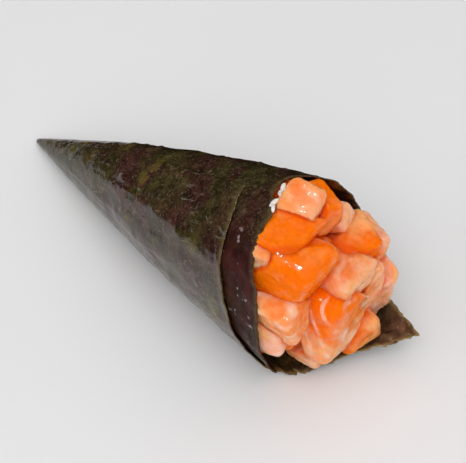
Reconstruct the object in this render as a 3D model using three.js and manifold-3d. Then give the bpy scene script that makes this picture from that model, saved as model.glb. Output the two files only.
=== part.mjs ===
// A salmon temaki hand roll lying on its side: a half sheet of nori wound into a cone and packed with diced
// raw salmon, which stands out of the mouth. Millimetres, +X from the tip to the mouth, +Y across, +Z up.
// The origin is the middle of the bounding box's underside, on the surface that the roll lies on.
import * as THREE from "three";
import { RoundedBoxGeometry } from "three/addons/geometries/RoundedBoxGeometry.js";
import { mergeVertices } from "three/addons/utils/BufferGeometryUtils.js";
import Module from "manifold-3d";

const wasm = await Module();
wasm.setup();

// --- driving dimensions ---
// The sheet, a half sheet of nori, and how it is wound. Turns are angles round the cone, in degrees, from
// +Y up over the top: 90 is the top, 180 the -Y side and 270 the line that the roll lies on.
const SHEET_SHORT_SIDE = 105;
const TIP_TO_OUTER_EDGE = 93.5; // along the sheet's long edge, from the tip to the outer short edge
const SEAM_TURN = 97;
const INNER_END_TURN = 588;
const INNER_TUCK = 113; // the sheet's inner corner is folded back at this distance from the tip
const INNER_START = 30; // the inner layer begins this far from the tip, where there is room for it
const INNER_FULL_WOUND = 1.25; // wraps wound by where its start is that far from the tip
const RIM_SKEW = 6; // the mouth is askew: the rim reaches this much further at the turn below
const RIM_SKEW_TURN = 205;
const RIM_WAVES = [
  { turn: 283, spread: 9, by: 1.5 },
  { turn: 324, spread: 11, by: -4 },
  { turn: 390, spread: 20, by: 3 },
  { turn: 445, spread: 25, by: -3 },
]; // humps and dips of the uneven rim
const WALL = 0.55; // one layer
const LAYER_PITCH = 0.9; // from one layer's face to the next one's
const TIP_SQUEEZE = 0.35; // share of the layer pitch that is left at the tip
const SQUEEZE_LENGTH = 26; // the layers lie at their full pitch from here on

// The cone that the sheet is wound to.
const CONE_LENGTH = 110; // from the tip to the mouth's nominal plane, along the table
const MOUTH_HALF_WIDTH = 25;
const MOUTH_HALF_HEIGHT = 30;
const TIP_RADIUS = 1.3;
const BELLY = 2.2; // how far the wall bulges past a straight cone, midway
const FLAT_SHARE = 0.9; // of the half height, from the axis down to the flat that the roll lies on
const UNDERSIDE_SQUARENESS = 2.35; // exponent of the section's lower half: 2 is an ellipse
const ARCH = 0.06; // the flat's middle stands this far clear, so that its corners carry the roll
const ARCH_START = 0.13; // shares of the cone's length
const ARCH_END = 0.93;
const ARCH_HALF_TURN = 28; // the flat's own half width, as a turn
const FLAP_LIFT = 10; // how far the sheet's loose corner curls up off the table
const FLAP_ROOT = 116; // distance from the tip where the curl begins
const FLAP_TIP = 145;
const SLANT_LENGTH = Math.hypot(CONE_LENGTH, MOUTH_HALF_HEIGHT);
const SPREAD_PER_TURN = (MOUTH_HALF_WIDTH + MOUTH_HALF_HEIGHT) / 2 / SLANT_LENGTH;

// The filling.
const CLEARANCE = 0.3; // between touching pieces
const CAVITY_INSET = 2.2; // from the cone's outer face to the filling
const CAVITY_START = 12; // distance from the tip
const CAVITY_END = 150;
const WALL_ROOM = 12; // how far outside the cone the room kept for the wall goes
const MOUND_TOP = -17; // how far past the mouth's nominal plane the mound reaches, at its top
const MOUND_LEAN = 0.56; // the mound reaches further down, by this slope
const MOUND_BULGE = 6; // and in the middle
const MOUND_HEEL = 9; // and less far at the very bottom
const MOUND_HEEL_HEIGHT = 14;
const CORE_DEPTH = 9; // from the mound's surface down to the packed core
const CUBE_ROUNDING = 0.18; // corner radius as a share of a cube's shortest side
const CUBE_TAPER = 0.22; // the most that a cube's width changes over its height, as a share
const CUBE_LEAN = 0.12; // the most that a cube's faces lean, as a slope

// The diced pieces that stand out of the mouth. at: the middle, measured from the mouth's middle, out of the
// mouth (+X), across (+Y) and up. size: along the same three. turned: degrees about the same three.
const CUBES = [
  { name: "crown_near", at: [-6.5, -0.5, 22.3], size: [10.5, 10.5, 11], turned: [8, 14, 10] },
  { name: "crown_far", at: [-5, 7, 18.7], size: [12, 9, 11], turned: [-10, 12, -12] },
  { name: "sliver_crown", at: [-2, 11, 13], size: [8, 8, 8], turned: [20, 0, 25] },
  { name: "shoulder", at: [-4, -6, 18.5], size: [13, 15, 9], turned: [6, 18, 8] },
  { name: "big_near", at: [-1, -9, 10.5], size: [17, 17, 18], turned: [-6, 12, 4] },
  { name: "sliver_near", at: [-4, -15.5, 15.5], size: [5, 4, 9], turned: [0, 5, 20] },
  { name: "brow_far", at: [3, 12.5, 6.3], size: [12.5, 13.5, 10.5], turned: [10, 8, -14] },
  { name: "ear_far", at: [1, 19, 0], size: [12, 9, 12], turned: [-10, 0, -25] },
  { name: "cheek_far", at: [5, 17, -12], size: [13, 11, 20], turned: [8, 5, -20] },
  { name: "middle", at: [4.5, 3, 0], size: [17, 16, 14], turned: [-4, 6, 6] },
  { name: "middle_far", at: [5, 11, -4], size: [14, 9, 17], turned: [6, 4, -10] },
  { name: "chin", at: [7, -5, -10], size: [14, 13, 15], turned: [-10, 0, 5] },
  { name: "foot_far", at: [10, 8, -18.5], size: [13, 11, 10], turned: [4, 0, -10] },
  { name: "jowl_near", at: [2, -14, 3], size: [14, 15, 13], turned: [14, 6, 12] },
  { name: "foot_near", at: [1, -17.5, -7], size: [10, 9, 8], turned: [-8, 0, 20] },
  { name: "foot_back", at: [2, -10, -13], size: [12, 12, 9], turned: [0, 0, 0] },
  { name: "foot_middle", at: [5.5, -7, -18.5], size: [9, 8, 7], turned: [10, 0, 10] },
];

// --- shared functions ---

const radians = THREE.MathUtils.degToRad;

// A closed surface with its positions only, each of them once.
function bare(geometry) {
  geometry.deleteAttribute("normal");
  geometry.deleteAttribute("uv");
  return mergeVertices(geometry, 1e-4);
}

// Moves each vertex to where place(point) says.
function reshape(geometry, place) {
  const position = geometry.getAttribute("position");
  const point = new THREE.Vector3();
  for (let i = 0; i < position.count; i++) {
    point.fromBufferAttribute(position, i);
    const moved = place(point);
    position.setXYZ(i, moved.x, moved.y, moved.z);
  }
  return geometry;
}

function solidOf(geometry) {
  const position = geometry.getAttribute("position");
  return new wasm.Manifold(
    new wasm.Mesh({
      numProp: 3,
      vertProperties: Float32Array.from(position.array),
      triVerts: Uint32Array.from(geometry.index.array),
    }),
  );
}

function geometryOf(solid) {
  const mesh = solid.getMesh();
  const geometry = new THREE.BufferGeometry();
  geometry.setAttribute("position", new THREE.BufferAttribute(mesh.vertProperties, 3));
  geometry.setIndex(new THREE.BufferAttribute(mesh.triVerts, 1));
  return geometry;
}

// The cone's section at a distance from the tip, `inset` inside its outer face.
function section(distance, inset) {
  const share = distance / SLANT_LENGTH;
  const bulge = share < 1 ? BELLY * 4 * share * (1 - share) : 0;
  const halfWidth = TIP_RADIUS + (MOUTH_HALF_WIDTH - TIP_RADIUS) * share + bulge;
  const halfHeight = TIP_RADIUS + (MOUTH_HALF_HEIGHT - TIP_RADIUS) * share + bulge;
  return {
    x: CONE_LENGTH * share,
    middle: FLAT_SHARE * halfHeight,
    halfWidth: halfWidth - inset,
    halfHeight: halfHeight - inset,
    lift: FLAP_LIFT * THREE.MathUtils.smoothstep(distance, FLAP_ROOT, FLAP_TIP),
  };
}

// How far the underside is arched off the table, lengthwise and across.
function underArch(distance, turn) {
  const span = ARCH_END - ARCH_START;
  const along = THREE.MathUtils.clamp((distance / SLANT_LENGTH - ARCH_START) / span, 0, 1);
  const aside = (THREE.MathUtils.euclideanModulo(turn - 90, 360) - 180) / ARCH_HALF_TURN;
  return ARCH * (4 * along * (1 - along) + Math.max(0, 1 - aside ** 2));
}

// A point of the wall, `inset` inside the cone's outer face and at least `floor` above the table: `fill` 1
// is on the wall, 0 on the axis.
function wallPoint(distance, turn, inset, floor = inset, fill = 1) {
  const cut = section(distance, inset);
  const across = Math.cos(radians(turn));
  const up = Math.sin(radians(turn));
  const power = up < 0 ? 2 / UNDERSIDE_SQUARENESS : 1;
  const y = cut.halfWidth * fill * Math.sign(across) * Math.abs(across) ** power;
  const z = cut.middle + cut.halfHeight * fill * Math.sign(up) * Math.abs(up) ** power;
  const least = floor + underArch(distance, turn);
  return new THREE.Vector3(cut.x, y, Math.max(z, least) + cut.lift);
}

// --- the nori ---

// How far from the tip the sheet's edge is at a turn: first its short edge, then its long one.
function rimDistance(turn) {
  const spread = radians(turn - SEAM_TURN) * SPREAD_PER_TURN;
  const toShortEdge = spread < Math.PI / 2 ? TIP_TO_OUTER_EDGE / Math.cos(spread) : Infinity;
  const toLongEdge = spread > 0 ? SHEET_SHORT_SIDE / Math.sin(spread) : Infinity;
  const tuckedIn = turn > SEAM_TURN + 360 ? INNER_TUCK : Infinity;
  const skew = RIM_SKEW * Math.cos(radians(turn - RIM_SKEW_TURN));
  const waves = RIM_WAVES.reduce(
    (sum, wave) => sum + wave.by * Math.exp(-(((turn - wave.turn) / wave.spread) ** 2)),
    0,
  );
  return Math.min(toShortEdge, toLongEdge, tuckedIn) + skew + waves;
}

function noriSheet() {
  const turnSteps = 82;
  const lengthSteps = 8;
  const box = bare(new THREE.BoxGeometry(1, 1, 1, turnSteps, lengthSteps, 1));
  return reshape(box, (p) => {
    const turn = THREE.MathUtils.lerp(SEAM_TURN, INNER_END_TURN, p.x + 0.5);
    const wound = (turn - SEAM_TURN) / 360;
    const start = INNER_START * THREE.MathUtils.smoothstep(wound, 1, INNER_FULL_WOUND);
    const distance = THREE.MathUtils.lerp(start, rimDistance(turn), p.y + 0.5);
    const squeeze = Math.min(1, THREE.MathUtils.lerp(TIP_SQUEEZE, 1, distance / SQUEEZE_LENGTH));
    const depth = WALL * (0.5 - p.z) * squeeze;
    return wallPoint(distance, turn, LAYER_PITCH * wound * squeeze + depth, depth);
  });
}

// --- the filling ---

// How far the mound stands out past the mouth's nominal plane, over a point of that plane: it leans with the
// rim, low at the top and far out along the table, and rounds off towards the sides.
function moundReach(y, z) {
  const lean = MOUND_TOP + MOUND_LEAN * (2 * MOUTH_HALF_HEIGHT - z);
  const off = (y / MOUTH_HALF_WIDTH) ** 2 + ((z - MOUTH_HALF_HEIGHT) / MOUTH_HALF_HEIGHT) ** 2;
  const heel = MOUND_HEEL * (1 - THREE.MathUtils.smoothstep(z, 0, MOUND_HEEL_HEIGHT));
  return lean + MOUND_BULGE * (1 - Math.min(off, 1.3)) - heel;
}

// The space inside the cone.
function cavity() {
  const tube = bare(new THREE.CylinderGeometry(1, 1, 1, 60, 12));
  return solidOf(
    reshape(tube, (p) => {
      const distance = THREE.MathUtils.lerp(CAVITY_START, CAVITY_END, p.y + 0.5);
      const turn = THREE.MathUtils.radToDeg(Math.atan2(p.x, p.z));
      return wallPoint(distance, turn, CAVITY_INSET, CAVITY_INSET, Math.hypot(p.x, p.z));
    }),
  );
}

// The room that the nori needs between two turns, with what is outside it: no piece of salmon enters it.
function wallRoom(fromTurn, toTurn) {
  const wedge = bare(new THREE.BoxGeometry(1, 1, 1, Math.round((toTurn - fromTurn) / 6), 8, 1));
  return solidOf(
    reshape(wedge, (p) => {
      const turn = THREE.MathUtils.lerp(fromTurn, toTurn, p.x + 0.5);
      const distance = (rimDistance(turn) + CLEARANCE) * (p.y + 0.5);
      const inset = p.z < 0 ? CAVITY_INSET : -WALL_ROOM;
      return wallPoint(distance, turn, inset);
    }),
  );
}

// Everything behind the mound's face, `depth` under it.
function behindMound(depth) {
  const block = bare(new THREE.BoxGeometry(1, 1, 1, 1, 14, 14));
  return solidOf(
    reshape(block, (p) => {
      const y = 3 * MOUTH_HALF_WIDTH * p.y;
      const z = MOUTH_HALF_HEIGHT * (1 + 2.6 * p.z);
      const x = p.x > 0 ? CONE_LENGTH + moundReach(y, z) - depth : 0;
      return new THREE.Vector3(x, y, z);
    }),
  );
}

// One diced piece, where it stands: a rounded box, tapered and leaning as a knife leaves it.
function dicedPiece(cube, index) {
  const [length, width, height] = cube.size;
  const rounding = CUBE_ROUNDING * Math.min(length, width, height);
  const block = bare(new RoundedBoxGeometry(length, width, height, 2, rounding));
  const taper = CUBE_TAPER * Math.sin(2.4 * index + 1);
  const lean = CUBE_LEAN * Math.cos(1.7 * index);
  const frame = frameOf(cube);
  return solidOf(
    reshape(block, (p) => {
      const narrowing = 1 + (taper * p.z) / height;
      const cut = new THREE.Vector3(p.x + lean * p.z, p.y * narrowing + lean * p.x, p.z + lean * p.y);
      return cut.applyMatrix4(frame);
    }),
  );
}

function frameOf(cube) {
  const [out, across, up] = cube.at;
  const [aboutX, aboutY, aboutZ] = cube.turned.map(radians);
  const frame = new THREE.Matrix4().makeRotationFromEuler(new THREE.Euler(aboutX, aboutY, aboutZ));
  return frame.setPosition(CONE_LENGTH + out, across, FLAT_SHARE * MOUTH_HALF_HEIGHT + up);
}

// How far a cube reaches from its middle in a direction.
function reachOf(cube, direction) {
  const axes = [new THREE.Vector3(), new THREE.Vector3(), new THREE.Vector3()];
  frameOf(cube).extractBasis(...axes);
  return axes.reduce((sum, axis, k) => sum + (Math.abs(axis.dot(direction)) * cube.size[k]) / 2, 0);
}

// Pieces that press on each other meet along a flat, each of them half the clearance back from it.
function pressedAgainst(solid, cube, other) {
  const middle = new THREE.Vector3().setFromMatrixPosition(frameOf(cube));
  const towards = new THREE.Vector3().setFromMatrixPosition(frameOf(other)).sub(middle);
  const apart = towards.length();
  towards.normalize();
  const mine = reachOf(cube, towards);
  const theirs = reachOf(other, towards);
  if (mine + theirs + CLEARANCE < apart) {
    return solid;
  }
  const meeting = middle.dot(towards) + (apart + mine - theirs) / 2 - CLEARANCE / 2;
  return solid.trimByPlane(towards.negate().toArray(), -meeting);
}

function largestBody(solid) {
  return solid.decompose().reduce((a, b) => (a.volume() > b.volume() ? a : b));
}

// --- the roll ---

const pieces = [{ name: "nori", geometry: noriSheet(), colour: 0x2e2a1c, roughness: 0.5 }];
const space = cavity();
const core = space.intersect(behindMound(CORE_DEPTH));
pieces.push({ name: "salmon_core", geometry: geometryOf(core), colour: 0xd0561a, roughness: 0.4 });
const taken = [
  behindMound(CORE_DEPTH - CLEARANCE),
  wallRoom(SEAM_TURN, SEAM_TURN + 360),
  wallRoom(SEAM_TURN + 360, INNER_END_TURN),
];
CUBES.forEach((cube, index) => {
  const others = CUBES.filter((other) => other !== cube);
  const pressed = others.reduce((solid, other) => pressedAgainst(solid, cube, other), dicedPiece(cube, index));
  const standing = largestBody(taken.reduce((solid, room) => solid.subtract(room), pressed));
  const geometry = geometryOf(standing);
  pieces.push({ name: `salmon_${cube.name}`, geometry, colour: 0xee7c30, roughness: 0.35 });
});

const bounds = new THREE.Box3();
for (const { geometry } of pieces) {
  geometry.computeBoundingBox();
  bounds.union(geometry.boundingBox);
}
const origin = bounds.getCenter(new THREE.Vector3()).setZ(bounds.min.z);

const roll = new THREE.Group();
for (const { name, geometry, colour, roughness } of pieces) {
  geometry.translate(-origin.x, -origin.y, -origin.z);
  const material = new THREE.MeshStandardMaterial({ color: colour, roughness, metalness: 0 });
  const mesh = new THREE.Mesh(geometry, material);
  mesh.name = name;
  roll.add(mesh);
}
export default roll;
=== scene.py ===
"""Looks of a salmon temaki hand roll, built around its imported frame.

The roll lies on its side: a half sheet of nori wound into a cone, packed with diced raw salmon that stands
out of the mouth. Everything is in metres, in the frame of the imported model, except where a name ends in _mm.
"""

from __future__ import annotations

import logging
import math
from dataclasses import dataclass, field
from enum import Enum

import bmesh
import bpy
from mathutils import Euler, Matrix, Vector, noise
from mathutils.bvhtree import BVHTree


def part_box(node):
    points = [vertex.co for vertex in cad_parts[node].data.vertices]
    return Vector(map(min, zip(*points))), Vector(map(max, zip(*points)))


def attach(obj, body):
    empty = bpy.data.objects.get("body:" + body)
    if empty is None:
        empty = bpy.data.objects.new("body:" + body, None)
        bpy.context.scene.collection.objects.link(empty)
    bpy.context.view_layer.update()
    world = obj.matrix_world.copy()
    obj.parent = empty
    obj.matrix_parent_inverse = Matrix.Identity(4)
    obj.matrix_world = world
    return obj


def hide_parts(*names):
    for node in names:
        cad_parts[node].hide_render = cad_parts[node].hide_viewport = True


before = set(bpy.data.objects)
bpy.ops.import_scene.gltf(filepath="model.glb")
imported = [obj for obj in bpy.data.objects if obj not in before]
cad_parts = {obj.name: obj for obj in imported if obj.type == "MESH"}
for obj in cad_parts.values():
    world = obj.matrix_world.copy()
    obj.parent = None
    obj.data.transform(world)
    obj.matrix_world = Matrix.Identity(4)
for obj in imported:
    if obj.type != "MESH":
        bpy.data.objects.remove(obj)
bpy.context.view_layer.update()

LOG = logging.getLogger("temaki")
MM = 0.001
Colour = tuple[float, float, float, float]
Triple = tuple[float, float, float]


# --- small helpers ---


def smoothstep(value: float, low: float, high: float) -> float:
    """Eases from 0 at low to 1 at high.

    Args:
        value: What is eased.
        low: Where the result leaves 0.
        high: Where the result reaches 1.

    Returns:
        A share from 0 to 1.
    """
    share = min(1.0, max(0.0, (value - low) / (high - low)))
    return share * share * (3.0 - 2.0 * share)


def lerp(a: float, b: float, share: float) -> float:
    """Goes from a to b by a share."""
    return a + (b - a) * share


def hump(value: float, middle: float, spread: float) -> float:
    """A smooth hump of height 1 round a middle."""
    return math.exp(-(((value - middle) / spread) ** 2))


def rough(point: Vector, size: float, seed: float = 0.0) -> float:
    """Smooth noise between about -1 and 1.

    Args:
        point: Where it is read.
        size: The width of its bumps, in the point's unit.
        seed: Moves the noise, so that two uses differ.

    Returns:
        The noise's value.
    """
    return noise.noise(point / size + Vector((seed * 7.31, seed * 3.17, seed * 5.93)))


def centre(shape: bmesh.types.BMesh) -> Vector:
    """The mean place of a shape's vertices."""
    return sum((vert.co for vert in shape.verts), Vector()) / len(shape.verts)


def even_out(shape: bmesh.types.BMesh, rounds: int) -> None:
    """Evens out a shape, as often as it is told to."""
    for _ in range(rounds):
        bmesh.ops.smooth_vert(
            shape, verts=shape.verts, factor=0.5, use_axis_x=True, use_axis_y=True, use_axis_z=True
        )


def linked(name: str, data: bpy.types.ID) -> bpy.types.Object:
    """Makes an object of its data and puts it in the scene."""
    made = bpy.data.objects.new(name, data)
    bpy.context.scene.collection.objects.link(made)
    return made


def finish_piece(
    name: str,
    shape: bmesh.types.BMesh,
    material: bpy.types.Material,
    nodes: tuple[str, ...] = (),
) -> bpy.types.Object:
    """Makes a piece of a shape, dresses it and hangs it on the frame.

    Args:
        name: The piece's name.
        shape: Its shape, which is used up.
        material: Its finish.
        nodes: The frame's nodes that it stands for.

    Returns:
        The piece.
    """
    mesh = bpy.data.meshes.new(name)
    shape.to_mesh(mesh)
    shape.free()
    for face in mesh.polygons:
        face.use_smooth = True
    mesh.materials.append(material)
    piece = linked(name, mesh)
    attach(piece, "root")
    if nodes:
        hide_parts(*nodes)
    LOG.info("%s: %d faces", name, len(mesh.polygons))
    return piece


# --- shader building ---


@dataclass
class Weaver:
    """Places and links shader nodes in one tree."""

    tree: bpy.types.NodeTree

    def add(self, kind: str, settings: dict | None = None, **sockets: object) -> bpy.types.Node:
        """Adds a node.

        Args:
            kind: The node's type, without ShaderNode.
            settings: The node's own properties.
            **sockets: Its inputs by name, underscores for spaces: a value, or a socket to link.

        Returns:
            The node.
        """
        node = self.tree.nodes.new("ShaderNode" + kind)
        for key, value in (settings or {}).items():
            setattr(node, key, value)
        for key, value in sockets.items():
            self.feed(node.inputs[key.replace("_", " ")], value)
        return node

    def feed(self, socket: bpy.types.NodeSocket, value: object) -> None:
        """Links a socket to another one, or sets its value."""
        if isinstance(value, bpy.types.NodeSocket):
            self.tree.links.new(value, socket)
        else:
            socket.default_value = value

    def math(self, operation: str, a: object, b: object = 0.0, clamp: bool = False) -> bpy.types.NodeSocket:
        """Works one sum.

        Args:
            operation: The sum, as Blender names it.
            a: The first number or socket.
            b: The second one.
            clamp: Whether the result is kept from 0 to 1.

        Returns:
            The result's socket.
        """
        node = self.add("Math", {"operation": operation, "use_clamp": clamp})
        self.feed(node.inputs[0], a)
        self.feed(node.inputs[1], b)
        return node.outputs[0]

    def times(self, a: object, b: object, clamp: bool = False) -> bpy.types.NodeSocket:
        """Multiplies two numbers."""
        return self.math("MULTIPLY", a, b, clamp)

    def times_plus(self, a: object, b: object, more: object) -> bpy.types.NodeSocket:
        """Multiplies two numbers and adds a third."""
        product = self.math("MULTIPLY_ADD", a, b)
        self.feed(product.node.inputs[2], more)
        return product

    def ramp(
        self, value: object, low: float, high: float, out_low: float = 0.0, out_high: float = 1.0
    ) -> bpy.types.NodeSocket:
        """Eases a value between two others.

        Args:
            value: The socket that is read.
            low: The value that gives out_low.
            high: The value that gives out_high.
            out_low: The first result.
            out_high: The second result.

        Returns:
            The result's socket.
        """
        node = self.add("MapRange", {"interpolation_type": "SMOOTHSTEP"})
        self.feed(node.inputs["Value"], value)
        node.inputs["From Min"].default_value = low
        node.inputs["From Max"].default_value = high
        node.inputs["To Min"].default_value = out_low
        node.inputs["To Max"].default_value = out_high
        return node.outputs["Result"]

    def mix(self, share: object, a: object, b: object, blend: str = "MIX") -> bpy.types.NodeSocket:
        """Mixes two colours.

        Args:
            share: How much of the second one.
            a: The first colour or socket.
            b: The second one.
            blend: How they mix.

        Returns:
            The mixed colour's socket.
        """
        node = self.add("Mix", {"data_type": "RGBA", "blend_type": blend})
        self.feed(node.inputs["Factor"], share)
        self.feed(node.inputs[6], a)
        self.feed(node.inputs[7], b)
        return node.outputs[2]

    def shaded(self, colour: object, shade: object) -> bpy.types.NodeSocket:
        """Darkens or lightens a colour by a number."""
        grey = self.add("CombineColor", None, Red=shade, Green=shade, Blue=shade).outputs[0]
        return self.mix(1.0, colour, grey, "MULTIPLY")

    def noise(
        self, vector: object, scale: float, detail: float = 3.0, wander: float = 0.0
    ) -> bpy.types.NodeSocket:
        """Reads noise.

        Args:
            vector: Where it is read.
            scale: Bumps per unit.
            detail: How many finer layers it has.
            wander: How much it is distorted.

        Returns:
            The noise's socket, about 0.5 on average.
        """
        node = self.add("TexNoise", None, Vector=vector, Scale=scale, Detail=detail, Distortion=wander)
        return node.outputs["Fac"]

    def cloud(self, vector: object, scale: float, detail: float, *ends: float) -> bpy.types.NodeSocket:
        """Reads noise and eases it.

        Args:
            vector: Where it is read.
            scale: Bumps per unit.
            detail: How many finer layers it has.
            *ends: The ramp's numbers: low and high, and what they give if that isn't 0 and 1.

        Returns:
            The result's socket.
        """
        return self.ramp(self.noise(vector, scale, detail), *ends)

    def own(self, name: str, output: str = "Fac") -> bpy.types.NodeSocket:
        """Reads an attribute of the mesh."""
        return self.add("Attribute", {"attribute_name": name}).outputs[output]

    def bump(self, skin: bpy.types.Node, height: object, strength: float, distance: float) -> None:
        """Roughens a shader's surface by a height, at most by a distance in metres."""
        bump = self.add("Bump", None, Height=height, Strength=strength, Distance=distance)
        self.feed(skin.inputs["Normal"], bump.outputs["Normal"])

    def stretched(self, vector: object, scale: Triple, turned: float = 0.0) -> bpy.types.NodeSocket:
        """Stretches a pattern's coordinates.

        Args:
            vector: The coordinates.
            scale: How much finer the pattern gets along each axis.
            turned: Radians about Z.

        Returns:
            The coordinates' socket.
        """
        node = self.add("Mapping", None, Vector=vector, Scale=scale)
        node.inputs["Rotation"].default_value = (0.0, 0.0, turned)
        return node.outputs["Vector"]


class Effect:
    """A shader node group with named inputs and outputs."""

    def __init__(self, name: str, inputs: dict[str, tuple[str, object]], outputs: dict[str, str]) -> None:
        """Makes the empty group.

        Args:
            name: The group's name.
            inputs: For each input, its socket type's last word and its value.
            outputs: For each output, its socket type's last word.
        """
        self.group = bpy.data.node_groups.new(name, "ShaderNodeTree")
        for key, (kind, value) in inputs.items():
            socket = self.group.interface.new_socket(key, in_out="INPUT", socket_type="NodeSocket" + kind)
            if value is not None:
                socket.default_value = value
        for key, kind in outputs.items():
            self.group.interface.new_socket(key, in_out="OUTPUT", socket_type="NodeSocket" + kind)
        self.weaver = Weaver(self.group)
        self.given = self.group.nodes.new("NodeGroupInput").outputs
        self.result = self.group.nodes.new("NodeGroupOutput").inputs

    def place(self, weaver: Weaver, **sockets: object) -> bpy.types.Node:
        """Places the group in a material.

        Args:
            weaver: The material's weaver.
            **sockets: The group's inputs by name, underscores for spaces.

        Returns:
            The group's node.
        """
        node = weaver.tree.nodes.new("ShaderNodeGroup")
        node.node_tree = self.group
        for key, value in sockets.items():
            weaver.feed(node.inputs[key.replace("_", " ")], value)
        return node


def mottle_effect() -> Effect:
    """Builds the cloudy patches and fine flecks of a natural surface.

    Returns:
        The effect: patches and flecks as masks, and a height.
    """
    effect = Effect(
        "natural mottle",
        {"Vector": ("Vector", None), "Patch Scale": ("Float", 60.0), "Fleck Scale": ("Float", 600.0)},
        {"Patches": "Float", "Flecks": "Float", "Height": "Float"},
    )
    weave, given = effect.weaver, effect.given
    patches = weave.add("TexNoise", None, Vector=given["Vector"], Scale=given["Patch Scale"], Detail=4.0)
    flecks = weave.add("TexNoise", None, Vector=given["Vector"], Scale=given["Fleck Scale"], Detail=3.0)
    grain = weave.add("TexVoronoi", None, Vector=given["Vector"], Scale=given["Fleck Scale"])
    weave.feed(effect.result["Patches"], weave.ramp(patches.outputs["Fac"], 0.38, 0.62))
    weave.feed(effect.result["Flecks"], weave.ramp(flecks.outputs["Fac"], 0.58, 0.74))
    height = weave.times_plus(grain.outputs["Distance"], 0.5, flecks.outputs["Fac"])
    weave.feed(effect.result["Height"], height)
    return effect


def wet_effect() -> Effect:
    """Builds the uneven film of moisture that lies on raw fish and damp seaweed.

    Returns:
        The effect: a roughness, and the film as a mask.
    """
    effect = Effect(
        "moist film",
        {
            "Vector": ("Vector", None),
            "Scale": ("Float", 250.0),
            "Wet Roughness": ("Float", 0.15),
            "Dry Roughness": ("Float", 0.45),
        },
        {"Roughness": "Float", "Film": "Float"},
    )
    weave, given = effect.weaver, effect.given
    cloud = weave.add("TexNoise", None, Vector=given["Vector"], Scale=given["Scale"], Detail=3.0)
    film = weave.ramp(cloud.outputs["Fac"], 0.35, 0.65)
    span = weave.math("SUBTRACT", given["Wet Roughness"], given["Dry Roughness"])
    weave.feed(effect.result["Roughness"], weave.times_plus(film, span, given["Dry Roughness"]))
    weave.feed(effect.result["Film"], film)
    return effect


# --- finishes ---


def new_finish(
    name: str,
) -> tuple[bpy.types.Material, Weaver, bpy.types.Node, bpy.types.NodeSocket]:
    """Starts a material.

    Args:
        name: Its name.

    Returns:
        The material, its weaver, its shader and its Object coordinates.
    """
    material = bpy.data.materials.new(name)
    material.use_nodes = True
    weave = Weaver(material.node_tree)
    skin = material.node_tree.nodes["Principled BSDF"]
    return material, weave, skin, weave.add("TexCoord").outputs["Object"]


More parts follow.
